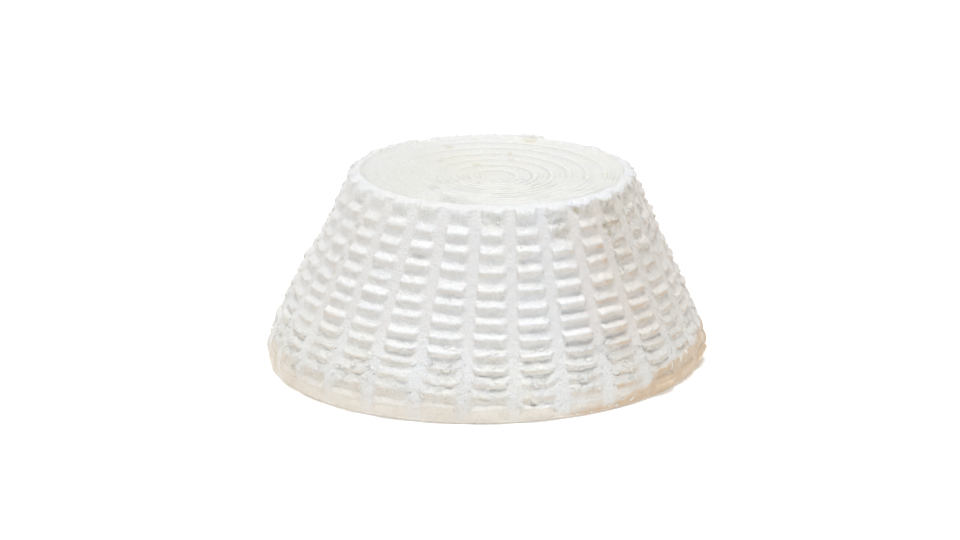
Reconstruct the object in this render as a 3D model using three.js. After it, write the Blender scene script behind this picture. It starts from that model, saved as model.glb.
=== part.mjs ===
// Moulded ricotta round: fresh cheese turned out of a tapered draining basket.
// It keeps the basket's print: smooth upright bands, stepped ridges between them,
// rings on the top and a plain collar at the foot.
// Millimetres, +Z up. The origin is the centre of the flat base.
import * as THREE from "three";
import { mergeVertices } from "three/addons/utils/BufferGeometryUtils.js";

// Driving sizes of the round.
const HEIGHT = 88;
const BASE_RADIUS = 100; // at the collar, the widest part
const TOP_RADIUS = 63.6; // of the bands, where the flank meets the top
const FLANK_TOP = 86.2; // height of that edge
const FLANK_FOOT = 22; // below this the straight flank swells into the collar
const FLANK_FOOT_RADIUS = 95.2;
const COLLAR_HEIGHT = 8;
const SWELL_POWER = 1.6; // how late the flank swells out towards the collar
const LEAN = 0.045; // sideways shift towards +X for each millimetre of height
const TOP_SLOPE = 0.024; // fall of the top towards +X

// Flat base with a small round where the collar meets the table.
const BASE_ROUND = 1.2;

// Print of the basket's wall.
const COLUMN_COUNT = 28; // columns of ridges, with a smooth band between each two
const FIRST_BAND = -83.3 * (Math.PI / 180); // direction of one band's centre line
const BAND_WIDTH = 4;
const SHARP_END = 0.9; // steep end of each ridge
const WIDE_END = 2.5; // gently sloping end of each ridge
const RIDGE_COUNT = 12;
const TOP_NOSE = 77.3; // height of the first ridge's nose
const TOP_PITCH = 7.4; // from one nose to the next, at the top
const PITCH_LOSS = 0.22; // the pitch shrinks by this much each step down
const TREAD_SHARE = 0.38; // part of the pitch that the upper, sloping face takes
const RIDGE_DEPTH = 2.4; // how far a nose stands out from the bands
const WORN_DEPTH = 1.3; // the same in the crumbly zone above the collar
const COLLAR_DEPTH = 0.4; // and on the collar
const CRUMBLY_TOP = 34; // the crumbly zone lies between these heights
const CRUMBLY_FOOT = 12;

// Edge of the top, which stands out over each column.
const RIM_DEPTH = 2.2;
const RIM_DROP = 1; // its lower edge, below FLANK_TOP
const RIM_ROUND = 0.5; // rounding of its upper edge

// Print of the basket's floor.
const BORDER_INNER = 60.5; // smooth border round the rings
const DISC_RADIUS = 60;
const DISC_STEP = 0.8; // from the border down to the rings
const DISC_DISH = 2.4; // further fall to the middle
const RING_COUNT = 7;
const RING_PITCH = 8;
const FIRST_RING = 9.9; // radius of the smallest groove
const GROOVE_DEPTH = 0.8;
const GROOVE_WIDTH = 1.6;

// The low rows have slipped down on one side.
const DROOP = 2.1;
const DROOP_ANGLE = -40; // middle of that side, in degrees
const DROOP_HALF = 78; // degrees to where the rows are level again

// Unevenness of the soft curd.
const WAVER = 0.5; // of the ridges' heights and of the flank
const DEPTH_WAVER = 0.25; // share by which the print's depth varies
const SEED = 31;

// Places where the print is smeared: directions in degrees, and the share of depth left.
const SMEARS = [
  { from: -36, to: -8, keep: 0.45 },
  { from: 62, to: 84, keep: 0.55 },
];

// Dents and torn spots of the flank: direction in degrees, then millimetres.
// A negative depth is a lump.
const DENTS = [
  { angle: -91, height: 83, reach: 6, depth: 1.3 },
  { angle: -57, height: 84, reach: 4, depth: 1.3 },
  { angle: -45, height: 73, reach: 4, depth: 2.6 },
  { angle: -63, height: 77, reach: 6, depth: 0.9 },
  { angle: -38, height: 80, reach: 6, depth: 0.9 },
  { angle: 178, height: 60, reach: 16, depth: 1.6 },
  { angle: -177, height: 35, reach: 9, depth: -1.5 },
];
const HIDDEN_DENT_COUNT = 7;

// Chips out of the top's edge: direction in degrees, then millimetres.
// A negative depth is a crumb that stands up.
const CHIPS = [
  { angle: 62, reach: 6, depth: 1.5 },
  { angle: 72, reach: 6, depth: -1.2 },
  { angle: 121, reach: 5, depth: 1.5 },
  { angle: 11, reach: 5, depth: 0.9 },
  { angle: -24, reach: 6, depth: 0.7 },
];

const radians = (degrees) => degrees * (Math.PI / 180);
const blend = (from, to, share) => from + (to - from) * share;

// Seeded random numbers between 0 and 1, the same in each run.
function randomSource(seed) {
  let state = seed;
  return () => {
    state = (state * 1664525 + 1013904223) % 4294967296;
    return state / 4294967296;
  };
}

// Smallest distance between two directions, in radians.
function angleBetween(a, b) {
  return Math.abs(Math.atan2(Math.sin(a - b), Math.cos(a - b)));
}

// Slow unevenness between -1 and 1 over the flank.
function waver(angle, height, phase) {
  const broad = Math.sin(3 * angle + 0.11 * height + phase);
  const middle = Math.sin(7 * angle - 0.17 * height + 2.1 * phase);
  const close = Math.sin(19 * angle + 0.29 * height + 3.7 * phase);
  return 0.4 * broad + 0.3 * middle + 0.3 * close;
}

// Radius of the smooth bands: a straight taper that swells into the collar.
function bandRadius(height) {
  if (height >= FLANK_FOOT) {
    const share = (height - FLANK_FOOT) / (FLANK_TOP - FLANK_FOOT);
    return blend(FLANK_FOOT_RADIUS, TOP_RADIUS, share);
  }
  const rise = Math.max(0, (height - COLLAR_HEIGHT) / (FLANK_FOOT - COLLAR_HEIGHT));
  return BASE_RADIUS - (BASE_RADIUS - FLANK_FOOT_RADIUS) * rise ** SWELL_POWER;
}

// Heights of the ridges' noses, from the lowest to the highest.
function noseHeights() {
  const heights = [];
  for (let step = RIDGE_COUNT - 1; step >= 0; step -= 1) {
    heights.push(TOP_NOSE - TOP_PITCH * step + (PITCH_LOSS / 2) * step * step);
  }
  return heights;
}

// How far a nose stands out: deep print above, worn in the crumbly zone, faint on the collar.
function noseDepth(height) {
  if (height < CRUMBLY_FOOT) {
    return COLLAR_DEPTH;
  }
  const share = (height - CRUMBLY_FOOT) / (CRUMBLY_TOP - CRUMBLY_FOOT);
  return blend(WORN_DEPTH, RIDGE_DEPTH, Math.min(1, share));
}

// Rows of the profile from the middle of the base, up the flank, to the middle of the top.
// depth is how far a row stands out between the bands, and sway how uneven it is.
function baseRows() {
  return [
    { radius: 0, height: 0, depth: 0, sway: 0 },
    { radius: BASE_RADIUS - BASE_ROUND, height: 0, depth: 0, sway: 0 },
    { radius: BASE_RADIUS, height: BASE_ROUND, depth: 0, sway: 0 },
  ];
}

function flankRows() {
  const rows = [];
  const noses = noseHeights();
  noses.forEach((height, index) => {
    const above = noses[index + 1] ?? height + TOP_PITCH;
    const start = blend(height, above, TREAD_SHARE);
    rows.push({ radius: bandRadius(height), height, depth: noseDepth(height), sway: 1 });
    rows.push({ radius: bandRadius(start), height: start, depth: 0, sway: 1 });
  });
  return rows;
}

function borderRows() {
  const lower = FLANK_TOP - RIM_DROP;
  const upper = FLANK_TOP + RIM_ROUND;
  return [
    { radius: bandRadius(lower), height: lower, depth: RIM_DEPTH, sway: 0.5 },
    { radius: TOP_RADIUS - RIM_ROUND, height: upper, depth: RIM_DEPTH / 2, sway: 0 },
    { radius: BORDER_INNER, height: HEIGHT, depth: 0, sway: 0 },
  ];
}

// Height of the dished disc at a radius.
function discHeight(radius) {
  const share = radius / DISC_RADIUS;
  return HEIGHT - DISC_STEP - DISC_DISH * (1 - share * share);
}

function discRows() {
  const rows = [{ radius: DISC_RADIUS, height: discHeight(DISC_RADIUS), depth: 0, sway: 0 }];
  for (let ring = RING_COUNT - 1; ring >= 0; ring -= 1) {
    const radius = FIRST_RING + RING_PITCH * ring;
    const inner = radius - GROOVE_WIDTH;
    const groove = discHeight(radius) - GROOVE_DEPTH;
    rows.push({ radius, height: groove, depth: 0, sway: 0 });
    rows.push({ radius: inner, height: discHeight(inner), depth: 0, sway: 0 });
  }
  rows.push({ radius: 0, height: discHeight(0), depth: 0, sway: 0 });
  return rows;
}

// Each column has four edges: both sides of its band, then both ends of the ridges' noses.
const EDGES_PER_COLUMN = 4;

function edgeOffset(edge, radius) {
  const pitch = (2 * Math.PI) / COLUMN_COUNT;
  const halfBand = BAND_WIDTH / 2 / radius;
  const ridgeStart = halfBand + SHARP_END / radius;
  const ridgeStop = pitch - halfBand - WIDE_END / radius;
  return [-halfBand, halfBand, ridgeStart, ridgeStop][edge];
}

// The torn spots, with a few more on the far side.
function allDents() {
  const random = randomSource(SEED);
  const dents = [...DENTS];
  for (let index = 0; index < HIDDEN_DENT_COUNT; index += 1) {
    dents.push({
      angle: blend(10, 170, random()),
      height: blend(28, 80, random()),
      reach: blend(3.5, 6, random()),
      depth: blend(0.7, 1.8, random()),
    });
  }
  return dents;
}

// Share of the print's depth that a smear leaves in one direction.
function smearAt(angle) {
  let keep = 1;
  for (const smear of SMEARS) {
    const middle = radians((smear.from + smear.to) / 2);
    const half = radians((smear.to - smear.from) / 2);
    const outside = THREE.MathUtils.smoothstep(angleBetween(angle, middle), half * 0.7, half);
    keep *= blend(smear.keep, 1, outside);
  }
  return keep;
}

// Depth of the torn spots at one place of the flank.
function dentAt(dents, angle, height, radius) {
  let depth = 0;
  for (const dent of dents) {
    const aside = angleBetween(angle, radians(dent.angle)) * radius;
    const distance = Math.hypot(aside, height - dent.height) / dent.reach;
    depth += dent.depth * Math.max(0, 1 - distance * distance);
  }
  return depth;
}

// Depth of the chips at one place of the top's edge.
function chipAt(angle, radius) {
  let depth = 0;
  for (const chip of CHIPS) {
    const aside = (angleBetween(angle, radians(chip.angle)) * radius) / chip.reach;
    depth += chip.depth * Math.max(0, 1 - aside * aside);
  }
  return depth;
}

// Where one edge of one row lies, before the round leans.
function reliefPoint(row, edge, turn, dents) {
  const foldRadius = Math.max(row.radius, TOP_RADIUS);
  const angle = FIRST_BAND + turn + edgeOffset(edge, foldRadius);
  const onRidge = edge >= 2 ? 1 : 0;
  const uneven = WAVER * row.sway;
  const vary = 1 + DEPTH_WAVER * waver(angle, row.height, 1.3);
  const print = row.depth * smearAt(angle) * vary;
  let height = row.height + uneven * onRidge * waver(angle, row.height, 4.2);
  let radius = row.radius + onRidge * print + uneven * waver(angle, row.height, 0.4);
  if (row.sway > 0) {
    radius -= dentAt(dents, angle, row.height, row.radius);
  }
  if (row.radius >= BORDER_INNER && row.height >= FLANK_TOP - RIM_DROP) {
    height -= chipAt(angle, row.radius);
  }
  return { angle, radius, height };
}

// How far the low rows have slipped down at one place.
function droopAt(angle, height) {
  const { smoothstep } = THREE.MathUtils;
  const aside = angleBetween(angle, radians(DROOP_ANGLE));
  const side = 1 - smoothstep(aside, radians(DROOP_HALF / 2), radians(DROOP_HALF));
  return DROOP * side * smoothstep(height, 2, 16) * (1 - smoothstep(height, 42, 78));
}

// The round slumps to one side: its rows droop, its upper part leans and its top slopes.
function slump(point) {
  const x = point.radius * Math.cos(point.angle);
  const y = point.radius * Math.sin(point.angle);
  const fall = TOP_SLOPE * x * (point.height / HEIGHT) + droopAt(point.angle, point.height);
  return new THREE.Vector3(x + LEAN * point.height, y, point.height - fall);
}

// A turned profile whose points are moved out and in by the basket's print.
function ricottaGeometry() {
  const rows = [...baseRows(), ...flankRows(), ...borderRows(), ...discRows()];
  const profile = rows.map((row) => new THREE.Vector2(row.radius, row.height));
  const segments = COLUMN_COUNT * EDGES_PER_COLUMN;
  const geometry = new THREE.LatheGeometry(profile, segments);
  geometry.deleteAttribute("normal");
  geometry.deleteAttribute("uv");
  const dents = allDents();
  const position = geometry.attributes.position;
  for (let index = 0; index < position.count; index += 1) {
    const row = rows[index % rows.length];
    const segment = Math.floor(index / rows.length) % segments;
    const turn = (Math.floor(segment / EDGES_PER_COLUMN) * 2 * Math.PI) / COLUMN_COUNT;
    const point = slump(reliefPoint(row, segment % EDGES_PER_COLUMN, turn, dents));
    position.setXYZ(index, point.x, point.y, point.z);
  }
  const closed = mergeVertices(geometry, 1e-4);
  centreOnBase(closed);
  closed.computeVertexNormals();
  return closed;
}

// Puts the origin under the middle of the round, at the height of its base.
function centreOnBase(geometry) {
  geometry.computeBoundingBox();
  const box = geometry.boundingBox;
  geometry.translate(-(box.min.x + box.max.x) / 2, -(box.min.y + box.max.y) / 2, -box.min.z);
}

const curd = new THREE.MeshStandardMaterial({ color: 0xf3f2ec, roughness: 0.5, metalness: 0 });

function ricottaRound() {
  const mesh = new THREE.Mesh(ricottaGeometry(), curd);
  mesh.name = "ricotta_round";
  return mesh;
}

const model = new THREE.Group();
model.add(ricottaRound());

export default model;
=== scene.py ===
"""Moulded ricotta round: fresh cheese turned out of a tapered draining basket.

The round is spun from one profile, then its points are moved by the basket's print and
by the unevenness of the soft curd. Lengths are in metres, angles in degrees or radians
as named, and +Z is up.
"""

import math
import random
from types import SimpleNamespace

import bmesh
import bpy
from bpy.props import FloatProperty, FloatVectorProperty, IntProperty, PointerProperty
from mathutils import Matrix, Vector, noise


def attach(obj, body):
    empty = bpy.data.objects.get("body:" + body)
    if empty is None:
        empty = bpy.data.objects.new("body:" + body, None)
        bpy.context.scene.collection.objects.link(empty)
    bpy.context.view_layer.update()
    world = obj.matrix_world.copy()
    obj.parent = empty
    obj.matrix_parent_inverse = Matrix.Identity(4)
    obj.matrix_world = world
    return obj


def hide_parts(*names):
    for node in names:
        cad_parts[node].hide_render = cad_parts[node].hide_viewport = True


bl_info = {
    "name": "Moulded Ricotta Round",
    "version": (1, 0, 0),
    "blender": (4, 5, 0),
    "location": "View3D > Sidebar > Ricotta",
    "description": "Builds a moulded ricotta round with its crumbs and its stage",
    "category": "Add Mesh",
}

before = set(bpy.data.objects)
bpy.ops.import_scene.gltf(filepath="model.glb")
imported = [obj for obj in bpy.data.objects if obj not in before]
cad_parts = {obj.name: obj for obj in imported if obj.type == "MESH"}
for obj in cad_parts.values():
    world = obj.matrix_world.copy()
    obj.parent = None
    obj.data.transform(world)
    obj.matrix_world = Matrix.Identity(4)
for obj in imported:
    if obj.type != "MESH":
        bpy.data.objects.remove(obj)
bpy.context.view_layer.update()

MM = 0.001
NODE = "ricotta_round"
CURD_MATERIAL = "moist_curd"


# ---- sizes and colours that a user would change ---------------------------------------


def length(name, description, millimetres):
    """A length property whose default is given in millimetres."""
    return FloatProperty(
        name=name,
        description=description,
        default=millimetres * MM,
        unit="LENGTH",
        precision=5,
    )


def colour(name, description, value):
    """A colour property, in linear light."""
    return FloatVectorProperty(
        name=name,
        description=description,
        default=value,
        subtype="COLOR",
        min=0.0,
        max=1.0,
    )


def number(name, description, value, **rest):
    """A plain number property."""
    return FloatProperty(name=name, description=description, default=value, **rest)


def whole(name, description, value, least):
    """A whole number property."""
    return IntProperty(name=name, description=description, default=value, min=least)


class RoundSizes(bpy.types.PropertyGroup):
    """Sizes of the round itself."""

    height: length("Height", "From the base to the top's border", 88.0)
    base_radius: length("Base Radius", "At the collar, the widest part", 100.0)
    top_radius: length("Top Radius", "Of the bands, where the flank meets the top", 63.6)
    flank_top: length("Flank Top", "Height of the edge between flank and top", 86.2)
    flank_foot: length("Flank Foot", "Below this the flank swells into the collar", 22.0)
    foot_radius: length("Foot Radius", "Radius of the bands at the flank's foot", 95.2)
    collar_height: length("Collar Height", "Height of the plain collar", 8.0)
    base_round: length("Base Round", "Rounding where the collar meets the table", 1.2)
    lean: number("Lean", "Sideways shift for each metre of height", 0.045)
    top_slope: number("Top Slope", "Fall of the top towards +X", 0.024)


class PrintSizes(bpy.types.PropertyGroup):
    """Sizes of the print that the draining basket leaves."""

    column_count: whole("Columns", "Columns of ridges round the flank", 28, 3)
    first_band: number(
        "First Band", "Direction of one smooth band", math.radians(-83.3), subtype="ANGLE"
    )
    band_width: length("Band Width", "Smooth band between two columns", 4.0)
    wide_end: length("Wide End", "Gently sloping end of each ridge", 2.5)
    sharp_end: length("Sharp End", "Steep end of each ridge", 0.9)
    ridge_count: whole("Ridges", "Ridges in each column", 12, 2)
    top_nose: length("Top Nose", "Height of the highest ridge's nose", 77.3)
    top_pitch: length("Top Pitch", "From one nose to the next, at the top", 7.4)
    pitch_loss: length("Pitch Loss", "How much the pitch shrinks each step down", 0.22)
    tread_share: number(
        "Tread Share", "Part of the pitch that a ridge's upper face takes", 0.34, min=0.1, max=0.9
    )
    ridge_depth: length("Ridge Depth", "How far a nose stands out from the bands", 2.2)
    worn_depth: length("Worn Depth", "The same just above the collar", 1.0)
    collar_depth: length("Collar Depth", "The same on the collar", 1.9)
    rim_depth: length("Rim Depth", "How far the top's edge stands out over a column", 2.4)
    ring_pitch: length("Ring Pitch", "From one main ring to the next", 8.2)
    first_ring: length("First Ring", "Radius of the smallest main ring", 10.3)
    groove_depth: length("Groove Depth", "Depth of a main ring's groove", 1.0)
    groove_width: length("Groove Width", "Width of a main ring's groove", 1.3)
    border_inner: length("Border Inner", "Inner radius of the smooth border", 60.5)
    disc_radius: length("Disc Radius", "Radius of the ringed disc", 60.0)
    disc_step: length("Disc Step", "From the border down to the rings", 0.8)
    disc_dish: length("Disc Dish", "Further fall to the middle of the disc", 2.4)


class CurdColours(bpy.types.PropertyGroup):
    """Colours of the curd."""

    curd: colour("Curd", "Fresh white curd", (0.928, 0.934, 0.922))
    cream: colour("Cream", "Creamier patches of the curd", (0.91, 0.895, 0.8))
    # The whey colour also paints warm shade under the noses, in crevices and on the right, and
    # warm bounce light on the collar.
    whey: colour("Whey", "Whey dried warm, at the collar and in hollows", (0.74, 0.58, 0.41))
    pressed: colour("Pressed", "Smooth curd pressed by the basket", (0.885, 0.874, 0.852))
    # Partly stain, partly painted shade at the bottoms of pits and in pinholes.
    pit: colour("Pit", "Bottom of a torn pit", (0.6, 0.49, 0.26))
    # Painted shade in the tiny pores.
    pore_shade: colour("Pore", "Tiny hollows between the curds", (0.66, 0.62, 0.56))


class StageSettings(bpy.types.PropertyGroup):
    """Floor and light."""

    floor: colour("Floor", "Pale warm floor", (0.96, 0.95, 0.925))
    air: colour("Air", "Soft light from all round", (1.0, 1.0, 1.0))
    air_strength: number("Air Strength", "Strength of the light from all round", 0.09)
    key_strength: number("Key", "Strength of the wide soft light above", 3.3)
    front_energy: number("Front", "Cool soft light from the front", 1.6, unit="POWER")


SETTINGS = (RoundSizes, PrintSizes, CurdColours, StageSettings)


def plain(*groups):
    """The groups' values as one plain object, which is quick to read in a loop."""
    values = {}
    for group in groups:
        for key in type(group).__annotations__:
            values[key] = getattr(group, key)
    return SimpleNamespace(**values)


# ---- places on the round ---------------------------------------------------------------

# Steps of the mesh within one column: across half a band, across a ridge's end, in all.
BAND_STEPS = 2
END_STEPS = 3
COLUMN_STEPS = 24
DISC_COLUMN_STEPS = 12

SWELL_POWER = 1.6
LUMP_FALL = 1.4  # how steep the sides of rounded lumps are
CENTRE_SHIFT = Vector((-0.46 * MM, 0.13 * MM, 0.0))  # from the base's middle to the box's
CRUMBLY_TOP = 34 * MM
CRUMBLY_FOOT = 12 * MM
WORN_TREAD_SHARE = 0.6
COLLAR_NOSE_DROP = 1.8 * MM  # the ridge on the collar sits a little lower than the rule says
RIM_DROP = 1.0 * MM
RIM_ROUND = 0.5 * MM

SMEAR_MIDDLE = 0.7  # share of a smear's half width where it is at its fullest
# Directions in degrees with the share of the print's depth that a smear leaves there.
SMEARS = (
    SimpleNamespace(start=-36, stop=-8, keep=0.75),
    SimpleNamespace(start=62, stop=84, keep=0.55),
)


def spot(angle, height, reach, depth, tear=0.0, stain_and_shade=0.0):
    """A dent of the flank: direction in degrees, the rest in millimetres and shares."""
    return SimpleNamespace(
        angle=math.radians(angle),
        height=height * MM,
        reach=reach * MM,
        depth=depth * MM,
        tear=tear,
        stain_and_shade=stain_and_shade,
    )


# Dents, torn spots and, with a negative depth, lumps.
SPOTS = (
    spot(-91, 83, 6, 0.8, tear=0.8, stain_and_shade=0.04),
    spot(-55.5, 83.5, 2.4, 0.9, tear=0.6, stain_and_shade=0.6),
    spot(-43.5, 74.5, 2.2, 1.0, tear=0.2, stain_and_shade=0.75),
    spot(-42, 71.5, 1.9, 0.9, tear=0.2, stain_and_shade=0.7),
    spot(-148, 71, 1.8, 0.7, stain_and_shade=0.35),
    spot(-148, 64, 1.8, 0.7, stain_and_shade=0.3),
    spot(-149, 57, 1.8, 0.7, stain_and_shade=0.3),
    spot(-150, 51, 1.8, 0.7, stain_and_shade=0.35),
    spot(-63, 77, 6, 0.9, tear=0.9, stain_and_shade=0.1),
    spot(-65.5, 74.5, 2.2, 0.5, tear=0.8, stain_and_shade=0.25),
    spot(-38, 80, 6, 0.3, tear=0.6, stain_and_shade=0.03),
    spot(178, 60, 16, 1.6),
    spot(-177, 35, 9, -1.5, tear=0.5),
)
HIDDEN_SPOT_COUNT = 7
# Ranges of their direction in degrees, and of their height, reach and depth in millimetres.
HIDDEN_SPOT_RANGES = ((10, 170), (28, 80), (3.5, 6), (0.7, 1.8))
SPOT_SEED = 31
SEED_FACTOR = 1664525
SEED_STEP = 1013904223
SEED_RANGE = 2**32

# Chips out of the top's edge; a negative depth is a crumb that stands up.
CHIPS = (
    SimpleNamespace(angle=62, reach=6 * MM, depth=1.5 * MM),
    SimpleNamespace(angle=72, reach=6 * MM, depth=-1.2 * MM),
    SimpleNamespace(angle=121, reach=5 * MM, depth=1.5 * MM),
    SimpleNamespace(angle=11, reach=5 * MM, depth=0.9 * MM),
    SimpleNamespace(angle=-24, reach=6 * MM, depth=0.7 * MM),
)


def pit(angle, radius, reach, depth, stain_and_shade):
    """A small pit of the top: direction in degrees, the rest in millimetres and a share."""
    turn = math.radians(angle)
    return SimpleNamespace(
        x=radius * MM * math.cos(turn),
        y=radius * MM * math.sin(turn),
        reach=reach * MM,
        depth=depth * MM,
        stain_and_shade=stain_and_shade,
    )


PITS = (
    pit(115, 46.5, 2.4, 0.6, 0.4),
    pit(71, 56.5, 3.6, 0.8, 0.45),
    pit(138, 31.5, 2.2, 0.5, 0.3),
    pit(113, 18.5, 2.0, 0.3, 0.45),
    pit(76, 35.0, 1.6, 0.6, 0.4),
    pit(88, 34.0, 1.4, 0.5, 0.25),
    pit(71, 27.5, 1.6, 0.4, 0.3),
    pit(71, 19.0, 1.2, 0.4, 0.2),
    pit(58, 20.5, 1.2, 0.4, 0.2),
    pit(132, 50.0, 1.8, 0.4, 0.15),
    pit(144, 41.0, 1.6, 0.4, 0.12),
    pit(171, 33.0, 1.4, 0.4, 0.12),
    pit(-136, 20.0, 1.2, 0.5, 0.25),
    pit(-115, 14.5, 1.2, 0.5, 0.25),
    pit(56, 41.0, 1.3, 0.5, 0.2),
    pit(38, 15.5, 1.0, 0.4, 0.15),
    pit(26, 34.0, 1.4, 0.4, 0.12),
    pit(34, 50.0, 1.5, 0.5, 0.2),
    pit(0, 42.5, 1.1, 0.6, 0.35),
    pit(-10, 43.5, 1.3, 0.6, 0.35),
    pit(-2, 51.0, 1.3, 0.9, 0.5),
    pit(-25, 61.5, 2.0, 1.0, 0.5),
    pit(25, 59.0, 1.3, 0.7, 0.3),
)


def soft_step(value, low, high):
    """0 at low, 1 at high and soft between; low may be above high."""
    share = min(1.0, max(0.0, (value - low) / (high - low)))
    return share * share * (3.0 - 2.0 * share)


def mix(start, end, share):
    """The value a share of the way from start to end."""
    return start + (end - start) * share


def turn_between(first, second):
    """Smallest angle between two directions."""
    return abs(math.remainder(first - second, math.tau))


def side(middle, far, near):
    """A side of the round, from degrees: its middle, where it ends and where it is full."""
    return tuple(math.radians(degrees) for degrees in (middle, far, near))


def facing(angle, which):
    """1 near the middle of a side, 0 far from it and soft between."""
    middle, far, near = which
    return soft_step(turn_between(angle, middle), far, near)


class Ripple:
    """Smooth noise of one depth, with bumps about size across and a pattern of its own."""

    def __init__(self, depth, size, channel):
        self.depth = depth
        self.size = size
        self.shift = Vector((channel, -channel, 2.0 * channel))

    def at(self, point):
        """The noise at a point, between about minus and plus the depth."""
        return self.depth * noise.noise(point / self.size + self.shift)


def lumps(point, size, channel):
    """Rounded lumps from 0 to 1, each about size across."""
    distances, _ = noise.voronoi(point / size + Vector((channel, channel, channel)))
    return max(0.0, 1.0 - LUMP_FALL * distances[0] * distances[0])


def band_radius(sizes, height):
    """Radius of the smooth bands: a straight taper that swells into the collar."""
    if height >= sizes.flank_foot:
        share = (height - sizes.flank_foot) / (sizes.flank_top - sizes.flank_foot)
        return mix(sizes.foot_radius, sizes.top_radius, share)
    rise = (height - sizes.collar_height) / (sizes.flank_foot - sizes.collar_height)
    swell = sizes.base_radius - sizes.foot_radius
    return sizes.base_radius - swell * max(0.0, rise) ** SWELL_POWER


def rim_height(sizes):
    """Height of the lower edge of the top's rim, which acts as the highest nose."""
    return sizes.flank_top - RIM_DROP


def nose_heights(sizes):
    """Heights of the ridges' noses from the lowest up, and last the rim's edge."""
    heights = []
    for step in reversed(range(sizes.ridge_count)):
        fall = sizes.top_pitch * step - 0.5 * sizes.pitch_loss * step * step
        drop = COLLAR_NOSE_DROP if step == sizes.ridge_count - 1 else 0.0
        heights.append(sizes.top_nose - fall - drop)
    heights.append(rim_height(sizes))
    return heights


def foot_heights(sizes, noses):
    """Height of the foot line above each nose, where its tread meets the next riser."""
    feet = []
    for lower, upper in zip(noses, noses[1:]):
        pitch = min(upper - lower, sizes.top_pitch)
        worn = soft_step(lower, CRUMBLY_TOP, CRUMBLY_FOOT) if lower > CRUMBLY_FOOT else 0.0
        feet.append(lower + mix(sizes.tread_share, WORN_TREAD_SHARE, worn) * pitch)
    return feet


def nose_depth(sizes, height):
    """How far a nose stands out: deep print above, worn low down, faint on the collar."""
    if height >= rim_height(sizes) - MM:
        return sizes.rim_depth
    if height < CRUMBLY_FOOT:
        return sizes.collar_depth
    share = (height - CRUMBLY_FOOT) / (CRUMBLY_TOP - CRUMBLY_FOOT)
    return mix(sizes.worn_depth, sizes.ridge_depth, min(1.0, share))


def smear_at(angle):
    """Share of the print's depth that the smears leave in one direction."""
    keep = 1.0
    for smear in SMEARS:
        middle = math.radians((smear.start + smear.stop) / 2)
        half = math.radians((smear.stop - smear.start) / 2)
        outside = soft_step(turn_between(angle, middle), half * SMEAR_MIDDLE, half)
        keep *= mix(smear.keep, 1.0, outside)
    return keep


def seeded_shares(seed):
    """Endless numbers between 0 and 1, the same as the plain solid's."""
    while True:
        seed = (seed * SEED_FACTOR + SEED_STEP) % SEED_RANGE
        yield seed / SEED_RANGE


def all_spots():
    """The named spots, with the same few more on the far side as the plain solid has."""
    shares = seeded_shares(SPOT_SEED)
    spots = list(SPOTS)
    for _ in range(HIDDEN_SPOT_COUNT):
        measures = [mix(low, high, next(shares)) for low, high in HIDDEN_SPOT_RANGES]
        spots.append(spot(*measures, tear=0.7, stain_and_shade=0.15))
    return spots


# ---- the flank -------------------------------------------------------------------------

BLUNT = 0.96  # share of the full depth that a blunt nose keeps
RISER_CURVE = 1.6  # above 1 the riser is hollow at its foot and overhung at its nose
WORN_RISER_CURVE = 1.15
CUP = 0.2 * MM  # how far a riser's foot lies behind the bands
SAG = 0.9 * MM  # how far the middle of a low ridge sags
DROOP = 2.1 * MM  # the low rows have slipped down by this at the front right
DROOP_SIDE = side(-40, 78, 39)
DROOP_START = (2 * MM, 16 * MM)
DROOP_END = (78 * MM, 42 * MM)

# Pairs of heights: nil at the first and full at the second, with a soft change between.
BELOW_RIM = (86 * MM, 78 * MM)
CUPPED_ROWS = (86 * MM, 80 * MM)
LOW_ROWS = (40 * MM, 25 * MM)
WORN_ROWS = (40 * MM, 24 * MM)
WARM_ROWS = (14 * MM, 34 * MM)
SAGGING_ROWS = (44 * MM, 20 * MM)
CRUMBLY_ROWS = (33 * MM, 17 * MM)
TORN_TOP = (50 * MM, 66 * MM)
TORN_RIM = (80 * MM, 84 * MM)
OVER_FOOT = (20 * MM, 5 * MM)
STEPPED_IN = (0.0, 3 * MM)
STEADY_FOOT = 5 * MM  # the rows keep their height below this

# The print's unevenness.
CELL_VARY = 0.26  # how much the depth differs from ridge to ridge
JITTER = 1.6  # the same for a ridge's height, as a share of the waver
HEIGHT_WAVER = 0.34 * MM
RIM_LIFT = 0.35  # the rim's edge wavers less
ROW_SHIFT = 12 * MM  # sets the pattern of one row apart from the next
DEPTH_WAVER = Ripple(0.2, 9 * MM, 4.4)
NOSE_NICKS = Ripple(0.14, 2.4 * MM, 8.8)
TORN_NOSES = Ripple(0.45, 4.2 * MM, 1.3)
LONG_WAVER = Ripple(1.0, 8 * MM, 2.2)
SHORT_WAVER = Ripple(1.0, 2.6 * MM, 5.9)
TORN_LONG = Ripple(0.5 * MM, 5 * MM, 7.1)
TORN_SHORT = Ripple(0.35 * MM, 2.5 * MM, 3.7)
BAND_EDGE = Ripple(0.3 * MM, 7 * MM, 0.7)
LOW_BAND_EDGE = Ripple(0.9 * MM, 4.5 * MM, 2.9)
LOW_END = 1.2 * MM  # a low ridge's ends are this much softer
DEEP_SIDE = (math.radians(-25), 1.75, 0.6)  # the print is deepest on this side
FAR_DEPTH = 0.92
DEEP_DEPTH = 1.1

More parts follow.
